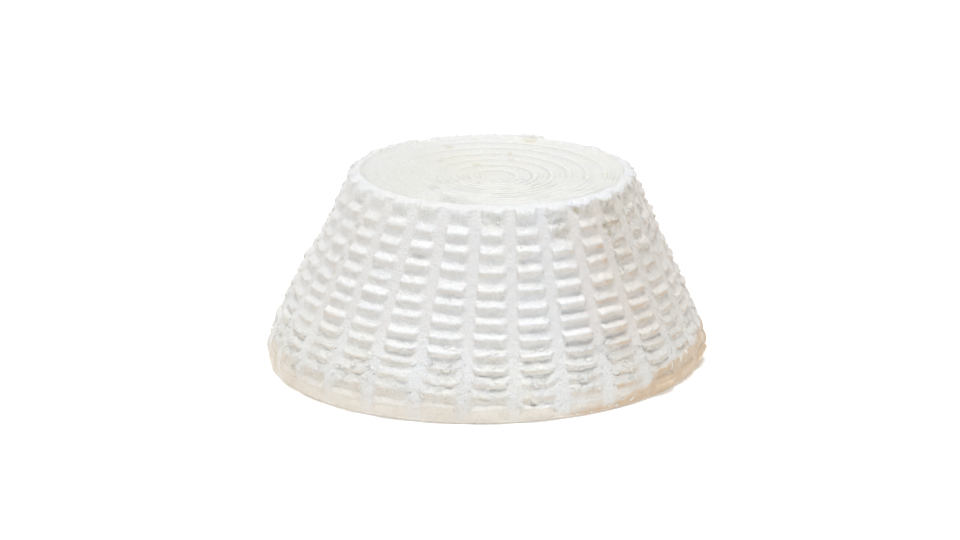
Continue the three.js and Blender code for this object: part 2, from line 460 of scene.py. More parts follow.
# The curd's unevenness.
BROAD_WAVER = Ripple(0.35 * MM, 30 * MM, 6.6)
CURD_WAVER = Ripple(0.28 * MM, 3.0 * MM, 8.1)
BAND_CALM = 0.3  # share of that waver on the bands
FLAKES = Ripple(1.0, 5.0 * MM, 1.2)
SMALL_FLAKES = Ripple(0.5, 2.4 * MM, 4.1)
FLAKE_EDGE = (-0.06, 0.1)
UPPER_FLAKE_EDGE = (0.32, 0.44)
FLAKE_DEPTH = 0.26 * MM
LUMP_DEPTH = 0.42 * MM
LUMP_SIZE = 4.2 * MM
TORN_GRAIN = Ripple(0.2 * MM, 2.0 * MM, 6.0)
TORN_BAND = (0.12, 0.55)  # share of the torn relief on the bands: above, and low down
TORN_LOSS = 0.25  # share of the print that tearing takes
CREVICE = (-0.05 * MM, -0.4 * MM)

# Where the curd is torn.
CRUMBLE_PATCHES = Ripple(0.9, 17 * MM, 3.1)
TORN_PATCHES = Ripple(1.0, 15 * MM, 9.7)
TORN_TOP_SIDE = (math.radians(-26), 0.42, 0.2)  # the print is torn near the top here
SPOT_TEAR = (1.5, 0.6)  # as shares of a spot's reach
SPOT_STAIN_AND_SHADE = (0.75, 0.2)
PLASTER_SIDE = side(-57, 20, 10)  # the print is plastered over low down on this side
PLASTERED_ROWS = (24 * MM, 12 * MM)

# The crumbly curd's lower edge, and the plain collar below it.
CURD_STEP = 0.15 * MM  # the crumbly curd stands out from the collar by this
CURD_EDGE = 11.6 * MM  # usual height of its ragged lower edge
CURD_EDGE_DIP = 7.0 * MM
CURD_EDGE_DIP_ANGLE = math.radians(-64)
CURD_EDGE_DIP_HALF = math.radians(24)
CURD_EDGE_RISE = 4.5 * MM
CURD_EDGE_RISE_SIDE = side(-2, 42, 21)
EDGE_LOBES = Ripple(2.4 * MM, 11 * MM, 5.3)
EDGE_NICKS = Ripple(1.1 * MM, 3.5 * MM, 1.9)
BAND_REACH = 3.6 * MM  # the edge reaches lower on the bands than under the ridges
TAN_SIDE_REACH_LOSS = 0.85
RIDGE_EDGE = 0.6 * MM

# Where whey has dried warm, and where warm shade and warm bounce light are painted.
# On this side the collar's tan is dried whey with painted warm bounce light and shade.
TAN_SIDE = side(-22, 44, 15)
# Painted shade at the very foot of the collar on this side.
FOOT_SHADE_SIDE = side(-22, 58, 32)
FOOT_SHADE_ROWS = (5 * MM, 1 * MM)
RIGHT_SIDE = side(-22, 52, 20)
LEFT_SIDE = side(185, 50, 25)
TAN_PATCHES = Ripple(0.5, 12 * MM, 11.0)
STRONG_PATCHES = Ripple(1.0, 9 * MM, 13.0)
TAN_FLECKS = Ripple(1.0, 3.5 * MM, 12.0)
COLLAR_SOFT = (5.5 * MM, 2.2 * MM)  # the tan's upper edge: soft, and crisper on the tan side


class Flank:
    """Places points of the flank: bands, ridges, torn curd and collar."""

    def __init__(self, sizes):
        self.sizes = sizes
        self.noses = nose_heights(sizes)
        self.feet = foot_heights(sizes, self.noses)
        self.spots = all_spots()
        self.pitch = math.tau / sizes.column_count

    def spread(self, share, radius):
        """Distance from the nearest band's middle, with the mesh gathered at ridge ends."""
        end = self.sizes.wide_end if share < 0 else self.sizes.sharp_end
        half_band = self.sizes.band_width / 2
        stops = (0, BAND_STEPS, BAND_STEPS + END_STEPS, COLUMN_STEPS / 2)
        places = (0, half_band, half_band + end, self.pitch * radius / 2)
        step = abs(share) * COLUMN_STEPS
        for index in range(3):
            if step <= stops[index + 1] or index == 2:
                part = (step - stops[index]) / (stops[index + 1] - stops[index])
                return math.copysign(mix(places[index], places[index + 1], part), share)

    def profile(self, height):
        """The ruling nose's index, the share of its depth here and if this is its riser."""
        last = len(self.noses) - 1
        curve = mix(RISER_CURVE, WORN_RISER_CURVE, soft_step(height, CRUMBLY_TOP, CRUMBLY_FOOT))
        if height < self.noses[0]:
            return 0, max(0.0, height / self.noses[0]) ** curve, True
        for index, (nose, foot) in enumerate(zip(self.noses, self.feet)):
            if height < foot:
                return index, 1.0 - (height - nose) / (foot - nose), False
            if height < self.noses[index + 1]:
                rise = (height - foot) / (self.noses[index + 1] - foot)
                return index + 1, rise**curve, True
        return last, 1.0, True

    def across_at(self, aside, low, point):
        """0 on a band and 1 on a ridge, with the ridge's ends sloping between."""
        end = self.sizes.wide_end if aside < 0 else self.sizes.sharp_end
        half_band = self.sizes.band_width / 2 + BAND_EDGE.at(point)
        half_band += low * LOW_BAND_EDGE.at(point)
        end += low * LOW_END
        return soft_step(abs(aside), half_band, half_band + end)

    def tear_at(self, angle, height, point):
        """How torn and crumbly the curd is here, from 0 to 1."""
        patchy = 0.5 + CRUMBLE_PATCHES.at(point)
        low = soft_step(height, *CRUMBLY_ROWS) * min(1.0, max(0.35, patchy + 0.4))
        middle = 0.5 * soft_step(TORN_PATCHES.at(point), 0.3, 0.6)
        upper = facing(angle, TORN_TOP_SIDE) * soft_step(height, *TORN_TOP)
        smear = (1.0 - smear_at(angle)) * 0.8
        rim = soft_step(height, *TORN_RIM) * min(0.4, max(0.05, patchy - 0.3))
        return min(1.0, max(low, middle, upper, smear, rim))

    def curd_edge(self, angle, point):
        """Height of the crumbly curd's ragged lower edge."""
        off = turn_between(angle, CURD_EDGE_DIP_ANGLE) / CURD_EDGE_DIP_HALF
        dip = CURD_EDGE_DIP * max(0.0, 1.0 - off * off)
        flat = Vector((point.x, point.y, 0.0))
        ragged = EDGE_LOBES.at(flat) + EDGE_NICKS.at(flat)
        rise = CURD_EDGE_RISE * facing(angle, CURD_EDGE_RISE_SIDE)
        return CURD_EDGE - dip + rise + ragged

    def spot_effect(self, angle, height, radius):
        """Depth, tear and dark tint of the spots at one place: partly stain, partly painted
        shade.
        """
        depth = tear = stain_and_shade = 0.0
        for dent in self.spots:
            aside = turn_between(angle, dent.angle) * radius
            reach = math.hypot(aside, height - dent.height) / dent.reach
            if reach < SPOT_TEAR[0]:
                depth += dent.depth * max(0.0, 1.0 - reach * reach)
                tear = max(tear, dent.tear * soft_step(reach, *SPOT_TEAR))
                stain_and_shade = max(stain_and_shade, dent.stain_and_shade * soft_step(reach, *SPOT_STAIN_AND_SHADE))
        return depth, tear, stain_and_shade

    def describe(self, angle, height):
        """What the print, the curd and the whey with its painted warm shade are like at one place
        of the plain flank.
        """
        sizes = self.sizes
        radius = band_radius(sizes, height)
        turn = (angle - sizes.first_band) / self.pitch
        band = math.floor(turn + 0.5)
        aside = self.spread(turn - band, radius)
        angle = sizes.first_band + band * self.pitch + aside / radius
        out = Vector((math.cos(angle), math.sin(angle), 0.0))
        point = out * radius + Vector((0.0, 0.0, height))
        index, share, riser = self.profile(height)
        low = soft_step(height, *LOW_ROWS)
        across = self.across_at(aside, low, point)
        tan_side = facing(angle, TAN_SIDE)
        reach_down = BAND_REACH * (1.0 - TAN_SIDE_REACH_LOSS * tan_side)
        edge = self.curd_edge(angle, point) + mix(-reach_down, RIDGE_EDGE, across)
        collar = soft_step(height, edge + 1.4 * MM, edge - 1.2 * MM)
        dent, spot_tear, stain_and_shade = self.spot_effect(angle, height, radius)
        plaster = facing(angle, PLASTER_SIDE) * soft_step(height, *PLASTERED_ROWS)
        tear = max(self.tear_at(angle, height, point), spot_tear) * (1.0 - collar)
        tear *= 1.0 - 0.6 * plaster
        return SimpleNamespace(
            angle=angle,
            height=height,
            out=out,
            point=point,
            column=math.floor(turn) % sizes.column_count,
            index=index,
            riser=riser,
            share=min(share, BLUNT),
            lip=math.sqrt(share) if riser else 0.0,  # 0 at a riser's foot, 1 at its nose
            held=soft_step(share, 0.0, 0.6),  # how much the nose, not the foot line, rules
            middle=1.0 - self.off_middle(aside, radius) ** 2,
            across=across,
            low=low,
            tan_side=tan_side,
            edge=edge,
            collar=collar,
            dent=dent,
            stain_and_shade=stain_and_shade,
            plaster=plaster,
            tear=tear,
        )

    def off_middle(self, aside, radius):
        """0 in the middle of a ridge and 1 at the middle of a band."""
        return 1.0 - 2.0 * abs(aside) / (self.pitch * radius)

    def print_relief(self, here, cell, along_row):
        """How far the print stands out from the bands."""
        vary = 1.0 + CELL_VARY * (noise.cell(cell) - 0.5) + DEPTH_WAVER.at(here.point)
        vary += NOSE_NICKS.at(along_row)
        vary += here.tear * TORN_NOSES.at(along_row)
        depth = nose_depth(self.sizes, self.noses[here.index]) * smear_at(here.angle) * vary
        depth *= (1.0 - TORN_LOSS * here.tear) * (1.0 - 0.8 * here.plaster)
        depth *= mix(FAR_DEPTH, DEEP_DEPTH, facing(here.angle, DEEP_SIDE))
        cup = CUP * here.middle * (1.0 - here.collar) * soft_step(here.height, *CUPPED_ROWS)
        return here.across * (here.share * (depth + cup) - cup)

    def lift(self, here, cell, along_row):
        """How far the row here lies above its rule."""
        jitter = HEIGHT_WAVER * (JITTER * (noise.cell(cell + Vector((0, 0, 7))) - 0.5))
        ragged = HEIGHT_WAVER * (LONG_WAVER.at(along_row) + SHORT_WAVER.at(along_row))
        ragged += here.tear * TORN_LONG.at(along_row)
        ragged += here.tear * TORN_SHORT.at(along_row)
        sag = SAG * soft_step(here.height, *SAGGING_ROWS) * (1.0 - here.collar) * here.middle
        lift = here.across * ((jitter + ragged) * here.held - sag)
        lift *= soft_step(here.height, self.sizes.base_round, STEADY_FOOT)
        if here.index == len(self.noses) - 1:
            lift *= RIM_LIFT
        return lift

    def torn_relief(self, point):
        """Height of torn curd: flat flakes with crisp edges over rounded lumps."""
        flat = Vector((point.x, point.y, point.z * 1.9))
        flake = FLAKES.at(flat) + SMALL_FLAKES.at(flat)
        crisp = soft_step(flake, *FLAKE_EDGE) + 0.6 * soft_step(flake, *UPPER_FLAKE_EDGE)
        lump = lumps(flat, LUMP_SIZE, 2.0) - 0.5
        return FLAKE_DEPTH * (crisp - 0.6) + LUMP_DEPTH * lump + TORN_GRAIN.at(flat)

    def place(self, angle, height):
        """Where a point of the plain flank goes, and the finish of the curd there."""
        here = self.describe(angle, height)
        cell = Vector((here.column + 0.5, here.index + 0.5, 0.5))
        along_row = Vector((here.point.x, here.point.y, here.index * ROW_SHIFT))
        relief = self.print_relief(here, cell, along_row)
        grounded = soft_step(height, 0.0, self.sizes.base_round)
        curd = CURD_WAVER.at(here.point) * mix(BAND_CALM, 1.0, here.across)
        flakes = self.torn_relief(here.point)
        on_band = mix(*TORN_BAND, soft_step(height, *CRUMBLY_ROWS))
        torn = here.tear * flakes * mix(on_band, 1.0, here.across)
        step_in = CURD_STEP * here.collar * soft_step(height, *STEPPED_IN)
        normal = (here.out + Vector((0.0, 0.0, 0.5))).normalized()
        broad = BROAD_WAVER.at(here.point) * grounded
        place = here.point + here.out * (relief + broad - here.dent - step_in)
        place += normal * (curd + torn) * grounded
        place.z += self.lift(here, cell, along_row)
        return place, self.finish(here, flakes)

    def finish(self, here, flakes):
        """The finish of the curd: how torn, creamy or pressed it is, and its whey colour with
        painted shade.
        """
        # Painted shade: the whey colour darkens the torn curd's crevices.
        crevice = here.tear * soft_step(flakes, *CREVICE)
        smooth = 1.0 - here.across * mix(0.6, 1.0, here.share)
        whole = (1.0 - here.low) * (1.0 - here.tear)
        return SimpleNamespace(
            tear=here.tear,
            grain=min(1.0, 0.15 * here.across + here.tear * mix(0.3, 0.2, here.low)),
            whey=min(1.0, self.whey_and_warm_shade_at(here) + 0.12 * crevice),
            pit=here.stain_and_shade,
            ring=0.0,
            cream=0.2 * here.tear * (1.0 - here.low) + (0.04 + 0.2 * here.across) * here.low,
            pressed=smooth * whole * soft_step(here.height, *BELOW_RIM),
        )

    def whey_and_warm_shade_at(self, here):
        """How much whey colour is laid here, from 0 to 1: dried whey, painted warm shade and
        painted warm bounce light.
        """
        height, across = here.height, here.across
        right = facing(here.angle, RIGHT_SIDE)
        left = facing(here.angle, LEFT_SIDE)
        patch = 0.5 + TAN_PATCHES.at(here.point)

        # Collar tan: dried whey, with painted warm bounce light and shade on the tan side and
        # painted warm shade on the left.
        soft = mix(*COLLAR_SOFT, here.tan_side)
        collar = soft_step(height, here.edge + soft, here.edge - soft)
        tan = collar * (0.25 + 1.25 * here.tan_side + 0.14 * left) * (0.75 + 0.5 * patch)
        fleck = soft_step(TAN_FLECKS.at(here.point), -0.1, 0.3)
        pattern = mix(0.75, 1.0 if here.riser else mix(0.95, 0.35, fleck), across)
        bare = here.plaster * (1.0 - here.tan_side) * soft_step(height, 2 * MM, 6.5 * MM)
        tan *= mix(pattern, 1.0, soft_step(here.tan_side, 0.0, 0.5)) * (1.0 - 0.8 * bare)
        # Painted shade at the foot on the tan side.
        tan += 0.8 * facing(here.angle, FOOT_SHADE_SIDE) * soft_step(height, *FOOT_SHADE_ROWS)

        # Painted shade: warm shade in the risers, strongest just under each nose.
        under_nose = soft_step(here.lip, 0.3, 0.9)
        under_nose *= mix(0.45, 1.0, soft_step(here.lip, 1.0, 0.86))
        hollow = across * (0.15 + 0.95 * under_nose) if here.riser else 0.0
        worn = soft_step(height, *WORN_ROWS)
        strong = right * soft_step(STRONG_PATCHES.at(here.point), -0.15, 0.35)
        nose_shade = hollow * (0.16 + 0.12 * right + 0.42 * strong + 0.08 * left + 0.1 * worn)
        nose_shade *= (0.5 + patch) * (1.0 - collar) * soft_step(height, *BELOW_RIM)

        low = 0.05 * soft_step(height, *OVER_FOOT)
        # Painted warm shade and bounce light over the whole right side.
        warm = right * mix(0.16, 0.28, soft_step(height, *WARM_ROWS))
        return min(1.0, tan + nose_shade + low + warm + 0.05 * left + 0.01)


# ---- the top ---------------------------------------------------------------------------

RING_SHIFT = Vector((1.0 * MM, -1.5 * MM, 0.0))  # the rings' centre lies a little aside
HALF_RING_DEPTH = 0.7  # the rings between the main ones are shallower
HALF_RING_WIDTH = 0.75
INNER_WALL = 2.6  # how steep a groove's walls are, in depths for each width
OUTER_WALL = 1.3
GROOVE_WAVER = Ripple(0.6, 10 * MM, 5.5)
HALF_RING_SIDE = side(-90, 85, 40)
FAINT_ANGLE = math.radians(170)  # the rings are smeared faint towards the left
FAINTEST = 0.75
DISC_EDGE = 1.5 * MM
DISC_WAVER = Ripple(0.28 * MM, 14 * MM, 0.3)
DISC_GRAIN = Ripple(0.1 * MM, 3 * MM, 7.7)
PIT_REACH = 1.3  # a pit's hole and its dark tint, partly stain and partly painted shade, as shares of its reach
PIT_STAIN_AND_SHADE = (1.25, 0.5)

TOOTH = 1.1 * MM
TEETH = Ripple(1.0, 3.2 * MM, 2.7)
TOOTH_GROUPS = Ripple(0.6, 8 * MM, 1.1)
NIBBLE = Ripple(0.4 * MM, 2.6 * MM, 9.2)
BORDER_WAVER = Ripple(0.15 * MM, 5 * MM, 3.3)
BORDER_ROUGHNESS = Ripple(0.1 * MM, 2.2 * MM, 4.9)
BORDER_GRAIN = 0.35

# Where the finish of the disc changes, as places of X, Y or both.
SCRATCHED = (-35 * MM, -5 * MM)
SCRATCHED_FRONT = (8 * MM, -25 * MM)
GRAINY_LEFT = (-10 * MM, -40 * MM)
CREAM_CENTRE = (-18 * MM, 12 * MM)
CREAM_REACH = (34 * MM, 6 * MM)


class Top:
    """Places points of the top: the rim, its border and the ringed disc."""

    def __init__(self, sizes, flank):
        self.sizes = sizes
        self.flank = flank

    def disc_height(self, radius):
        """Height of the dished disc."""
        share = radius / self.sizes.disc_radius
        fall = self.sizes.disc_dish * (1.0 - share * share)
        return self.sizes.height - self.sizes.disc_step - fall

    def groove(self, radius, angle):
        """Depth of the ring grooves at a radius: a steep inner wall and a gentle outer one."""
        sizes = self.sizes
        half = sizes.ring_pitch / 2
        number = round((radius - sizes.first_ring) / half)
        if radius > sizes.disc_radius - MM or number < -1:
            return 0.0
        main = number % 2 == 0
        centre = sizes.first_ring + number * half
        width = sizes.groove_width * (1.0 if main else HALF_RING_WIDTH)
        off = (radius - centre) / width
        shape = max(0.0, 1.0 - abs(off) * (OUTER_WALL if off > 0 else INNER_WALL))
        front = facing(angle, HALF_RING_SIDE)
        return sizes.groove_depth * (1.0 if main else HALF_RING_DEPTH * front) * shape

    def faintness(self, x, y):
        """How much of the rings is smeared away, from 0 to 1."""
        radius = math.hypot(x, y)
        toward = math.cos(math.atan2(y, x) - FAINT_ANGLE) * radius / self.sizes.disc_radius
        return FAINTEST * soft_step(toward, 0.0, 0.75)

    def chip(self, angle, radius):
        """Depth of the chips and teeth of the rim in one direction."""
        depth = 0.0
        for chip in CHIPS:
            aside = turn_between(angle, math.radians(chip.angle)) * radius / chip.reach
            depth += chip.depth * max(0.0, 1.0 - aside * aside)
        ring = Vector((math.cos(angle), math.sin(angle), 0.0)) * self.sizes.top_radius
        back = 0.35 + 0.65 * soft_step(math.sin(angle), -0.4, 0.5)
        return depth - TOOTH * back * (TEETH.at(ring) + TOOTH_GROUPS.at(ring))

    def place(self, angle, radius, height):
        """Where a point of the plain top goes, and the finish of the curd there."""
        sizes = self.sizes
        if radius > sizes.border_inner - 0.1 * MM:
            return self.place_border(angle, radius, height)
        share = radius / sizes.disc_radius
        out = Vector((math.cos(angle), math.sin(angle), 0.0))
        point = out * radius + RING_SHIFT * (1.0 - share)
        point.z = height
        depth = self.groove(radius, angle) * (1.0 - self.faintness(point.x, point.y))
        depth *= 1.0 + GROOVE_WAVER.at(point)
        uneven = DISC_WAVER.at(point) + DISC_GRAIN.at(point)
        edge = soft_step(radius, sizes.disc_radius - DISC_EDGE, sizes.disc_radius)
        uneven -= edge * 0.5 * max(0.0, self.chip(angle, radius))
        stain_and_shade = 0.0
        # Pits: dents with a dark tint, partly stain and partly painted shade.
        for hole in PITS:
            reach = math.hypot(point.x - hole.x, point.y - hole.y) / hole.reach
            if reach < PIT_REACH:
                depth += hole.depth * max(0.0, 1.0 - reach * reach)
                stain_and_shade = max(stain_and_shade, 0.75 * hole.stain_and_shade * soft_step(reach, *PIT_STAIN_AND_SHADE))
        finish = self.disc_finish(point, edge, stain_and_shade)
        point.z += uneven - depth
        return point, finish

    def disc_finish(self, point, edge, stain_and_shade):
        """The finish of the disc: scratched at the front, grainy at the left, creamy."""
        ring = (1.0 - edge) * soft_step(point.x - 0.6 * point.y, *SCRATCHED)
        ring *= 0.2 + 0.8 * soft_step(point.y, *SCRATCHED_FRONT)
        off_cream = math.hypot(point.x - CREAM_CENTRE[0], point.y - CREAM_CENTRE[1])
        return SimpleNamespace(
            grain=mix(0.4, 0.9, soft_step(point.x, *GRAINY_LEFT)),
            whey=0.02,
            pit=stain_and_shade,
            ring=ring,
            cream=0.36 + 0.3 * soft_step(off_cream, *CREAM_REACH),
            pressed=0.0,
        )

    def place_border(self, angle, radius, height):
        """The smooth border and the rounded rim, which stands out over each column."""
        sizes = self.sizes
        share = (radius - sizes.border_inner) / (sizes.top_radius - sizes.border_inner)
        rim, finish = self.flank.place(angle, rim_height(sizes))
        middle = Vector((0.0, 0.0, rim.z))
        plain_rim = band_radius(sizes, rim_height(sizes))
        swell = (rim - middle).length - plain_rim
        out = (rim - middle).normalized()
        scallop = (swell + NIBBLE.at(out * sizes.top_radius)) * soft_step(share, 0.0, 1.15)
        point = out * (radius + scallop)
        point.z = height - self.chip(angle, radius) * (0.6 + 0.4 * share)
        point.z += BORDER_WAVER.at(point) + BORDER_ROUGHNESS.at(point)
        finish.grain = BORDER_GRAIN
        finish.whey = finish.cream = finish.pressed = 0.0
        return point, finish


def slump(sizes, point):
    """The round slumps to one side: its rows droop, its upper part leans, its top slopes."""
    slipped = facing(math.atan2(point.y, point.x), DROOP_SIDE)
    slipped *= soft_step(point.z, *DROOP_START) * soft_step(point.z, *DROOP_END)
    fall = sizes.top_slope * point.x * (point.z / sizes.height) + DROOP * slipped
    leaning = Vector((point.x + sizes.lean * point.z, point.y, point.z - fall))
    return leaning + CENTRE_SHIFT


# ---- building the meshes ---------------------------------------------------------------

FINISHES = ("grain", "whey", "pit", "ring", "cream", "pressed")
COLLAR_LINE = 4.0 * MM  # height of the mesh's first line on the collar
COLLAR_CUTS = 3
TREAD_CUTS = 3
RISER_CUTS = 4
RIM_CUTS = 2
GROOVE_INNER = 0.36  # where a groove's walls end, in groove widths
GROOVE_OUTER = 0.7
MERGE_DISTANCE = 1e-7
UNDERSIDE_WHEY = 0.35


def chain(bm, places):
    """A line of edges through the given (radius, height) places."""
    verts = [bm.verts.new((radius, 0.0, height)) for radius, height in places]
    return [bm.edges.new(pair) for pair in zip(verts, verts[1:])]


def spin_round(bm, steps):
    """Turns the line that bm holds into a surface round the Z axis."""
    geometry = list(bm.verts) + list(bm.edges)
    bmesh.ops.spin(
        bm,
        geom=geometry,
        cent=(0.0, 0.0, 0.0),
        axis=(0.0, 0.0, 1.0),
        angle=math.tau,
        steps=steps,
        use_merge=True,
    )
    bmesh.ops.remove_doubles(bm, verts=bm.verts, dist=MERGE_DISTANCE)


def flank_shell(sizes):
    """The base, the flank and the border as one spun surface, open over the disc."""
    noses = nose_heights(sizes)
    bm = bmesh.new()
    base = [(0.0, 0.0), (sizes.base_radius - sizes.base_round, 0.0)]
    heights = [sizes.base_round, COLLAR_LINE]
    for nose, foot in zip(noses, foot_heights(sizes, noses)):
        heights += [nose, foot]
    heights.append(noses[-1])
    wall = [(band_radius(sizes, height), height) for height in heights]
    rim = [
        (sizes.top_radius - RIM_ROUND, sizes.flank_top + RIM_ROUND),
        (sizes.border_inner, sizes.height),
    ]
    edges = chain(bm, base + wall + rim)
    first = len(base)
    for part, cuts in (
        (edges[first : first + 2], COLLAR_CUTS),
        (edges[first + 2 : -2 : 2], TREAD_CUTS),
        (edges[first + 3 : -2 : 2], RISER_CUTS),
        (edges[-2:], RIM_CUTS),
    ):
        bmesh.ops.subdivide_edges(bm, edges=part, cuts=cuts)
    spin_round(bm, sizes.column_count * COLUMN_STEPS)
    return bm


def disc_shell(sizes, top):
    """The ringed disc as a spun surface."""
    bm = bmesh.new()
    radii = [0.0]
    half = sizes.ring_pitch / 2
    width = sizes.groove_width
    radius = sizes.first_ring - half
    while radius < sizes.disc_radius - half / 2:
        radii += [radius - GROOVE_INNER * width, radius, radius + GROOVE_OUTER * width]
        radius += half
    radii.append(sizes.disc_radius)
    chain(bm, [(radius, top.disc_height(radius)) for radius in radii])
    spin_round(bm, sizes.column_count * DISC_COLUMN_STEPS)
    return bm


def join_into(bm, other):
    """Adds the other bmesh's geometry to bm and frees it."""
    mesh = bpy.data.meshes.new("join")
    other.to_mesh(mesh)
    other.free()
    bm.from_mesh(mesh)
    bpy.data.meshes.remove(mesh)


def finish_layers(bm):
    """The layers, by name, that hold the finish of the curd at each point."""
    layers = bm.verts.layers.float
    for name in FINISHES:
        layers.new(name)
    return {name: layers[name] for name in FINISHES}


def settle(bm, sizes, flank, top):
    """Moves each point of the plain round into the print and stores its finish."""
    layers = finish_layers(bm)
    lowest = sizes.base_round / 2
    for vert in bm.verts:
        radius = math.hypot(vert.co.x, vert.co.y)
        angle = math.atan2(vert.co.y, vert.co.x)
        if vert.co.z < lowest:
            vert.co += CENTRE_SHIFT
            vert[layers["whey"]] = UNDERSIDE_WHEY
            continue
        if radius < sizes.top_radius:
            place, finish = top.place(angle, radius, vert.co.z)
        else:
            place, finish = flank.place(angle, vert.co.z)
        vert.co = slump(sizes, place)
        for name, layer in layers.items():
            vert[layer] = getattr(finish, name)


def finish_object(bm, name, material):
    """Makes a smooth-shaded object from bm at the origin."""
    bmesh.ops.recalc_face_normals(bm, faces=bm.faces)
    for face in bm.faces:
        face.smooth = True
    mesh = bpy.data.meshes.new(name)
    bm.to_mesh(mesh)
    bm.free()
    mesh.materials.append(material)
    piece = bpy.data.objects.new(name, mesh)
    bpy.context.scene.collection.objects.link(piece)
    return piece


# ---- crumbs ----------------------------------------------------------------------------

LUMPS_IN_BATCH = 60
LUMP_RISE = 0.45  # how far lumps look upwards, for each length outwards
LUMP_GRAIN = 0.2
LUMP_WHEY_AND_SHADE = 0.3
LUMP_CREAM = 0.35
# Size and depth of a lump's bends and of its roughness, as shares of its least half size.
LUMP_BEND = (2.6, 0.6)
LUMP_ROUGHNESS = (1.1, 0.14)

CHUNK_TOP = 34 * MM  # chunks of curd break up the ridges below this height
CHUNK_FOOT = CRUMBLY_FOOT - 2 * MM
RIDGE_CHUNKS = 6
CHUNK_GAPS = 0.72  # share of the chunks that are left out
LOOSE_CHUNK_COUNT = 70
LOOSE_CHUNK_THICKNESS = 0.7 * MM
CRUMB_COUNT = 260
CRUMB_SEED = 5
# Little curds stuck on the collar: direction in degrees, height and half length.
FOOT_CURDS = (
    (-50.5, 3.2 * MM, 1.3 * MM),
    (-53.0, 4.6 * MM, 0.8 * MM),
    (-54.5, 1.9 * MM, 1.1 * MM),
    (-57.5, 2.6 * MM, 0.9 * MM),
    (-63.0, 1.6 * MM, 0.8 * MM),
    (-66.5, 1.8 * MM, 0.7 * MM),
)

GRAIN_COUNT = 2800
GRAIN_SEED = 8
GRAIN_SIDE = side(-14, 62, 24)  # most of the grains lie on this side
GRAIN_TOP = (66 * MM, 54 * MM)
GRAIN_FOOT = (14 * MM, 30 * MM)
GRAIN_SINK = 0.55
FINE_GRAIN = 0.8 * MM  # grains below this are drawn with fewer faces


def outward(angle):
    """Where a lump on the flank looks."""
    return Vector((math.cos(angle), math.sin(angle), LUMP_RISE)).normalized()


class Heap:
    """Gathers lumps of curd into one mesh, a few at a time because a small mesh is quick."""

    def __init__(self):
        self.mesh = bmesh.new()
        self.start_batch()

    def start_batch(self):
        """Opens the next small mesh."""
        self.batch = bmesh.new()
        self.layers = finish_layers(self.batch)
        self.count = 0

    def add(self, place, out, size, roll, detail, finish):
        """Adds one lump: size is its half length, half height and half thickness."""
        side = Vector((0.0, 0.0, 1.0)).cross(out).normalized()
        along = out.cross(side).normalized()
        axes = Matrix((side, along, out)).transposed().to_4x4()
        turn = Matrix.Rotation(roll, 4, "Z")
        matrix = Matrix.Translation(place) @ axes @ turn @ Matrix.Diagonal((*size, 1.0))
        made = bmesh.ops.create_icosphere(
            self.batch, subdivisions=detail, radius=1.0, matrix=matrix
        )
        thin = min(size)
        # Lumps take their place's whey colour with its painted shade, up to a cap.
        whey = min(finish.whey, LUMP_WHEY_AND_SHADE)
        for vert in made["verts"]:
            bend = noise.noise_vector(vert.co / (LUMP_BEND[0] * thin))
            fine = noise.noise_vector(vert.co / (LUMP_ROUGHNESS[0] * thin))
            vert.co += bend * thin * LUMP_BEND[1] + fine * thin * LUMP_ROUGHNESS[1]
            vert[self.layers["grain"]] = LUMP_GRAIN
            vert[self.layers["whey"]] = whey
            vert[self.layers["cream"]] = LUMP_CREAM
        self.count += 1
        if self.count == LUMPS_IN_BATCH:
            join_into(self.mesh, self.batch)
            self.start_batch()

    def close(self):
        """The whole mesh."""
        join_into(self.mesh, self.batch)
        return self.mesh


def crumbs_mesh(sizes, flank):
    """Chunks that break up the low ridges, and small crumbs on and below them."""
    source = random.Random(CRUMB_SEED)
    heap = Heap()

    def stick(angle, height, size, roll, sink, detail):
        """Adds one lump, sunk by a share of its half thickness."""
        place, finish = flank.place(angle, height)
        out = outward(angle)
        place = slump(sizes, place - out * (size[2] * sink))
        heap.add(place, out, size, roll, detail, finish)

    for column in range(sizes.column_count):
        for nose in flank.noses:
            if nose > CHUNK_TOP or nose < CHUNK_FOOT:
                continue
            for part in range(RIDGE_CHUNKS):
                if source.random() < CHUNK_GAPS:
                    continue
                share = 0.18 + 0.7 * (part + source.uniform(0.1, 0.9)) / RIDGE_CHUNKS
                angle = sizes.first_band + (column + share) * flank.pitch
                half = mix(1.1, 3.2, source.random() ** 1.6) * MM
                tall = half * source.uniform(0.4, 0.7)
                size = (half, tall, tall * source.uniform(0.35, 0.6))
                height = nose + source.uniform(-0.5, 1.8) * MM
                stick(angle, height, size, source.gauss(0.0, 0.3), 0.8, 3)
    for _ in range(LOOSE_CHUNK_COUNT):
        angle = math.radians(source.choice((source.gauss(-155, 22), source.uniform(0, 360))))
        height = source.uniform(9, 26) * MM
        half = source.uniform(1.4, 3.0) * MM
        size = (half, half * source.uniform(0.35, 0.55), LOOSE_CHUNK_THICKNESS)
        stick(angle, height, size, source.gauss(0.0, 0.5), 0.7, 3)
    for degrees, height, half in FOOT_CURDS:
        stick(math.radians(degrees), height, (half, half * 0.75, half * 0.6), 0.4, 0.3, 3)
    for _ in range(CRUMB_COUNT):
        angle = source.uniform(0.0, math.tau)
        height = mix(6 * MM, 38 * MM, source.random() ** 1.4)
        half = source.uniform(0.3, 0.7) * MM
        size = (half, half * source.uniform(0.6, 0.9), half * 0.7)
        stick(angle, height, size, source.uniform(0.0, math.pi), 0.4, 2)
    return heap.close()


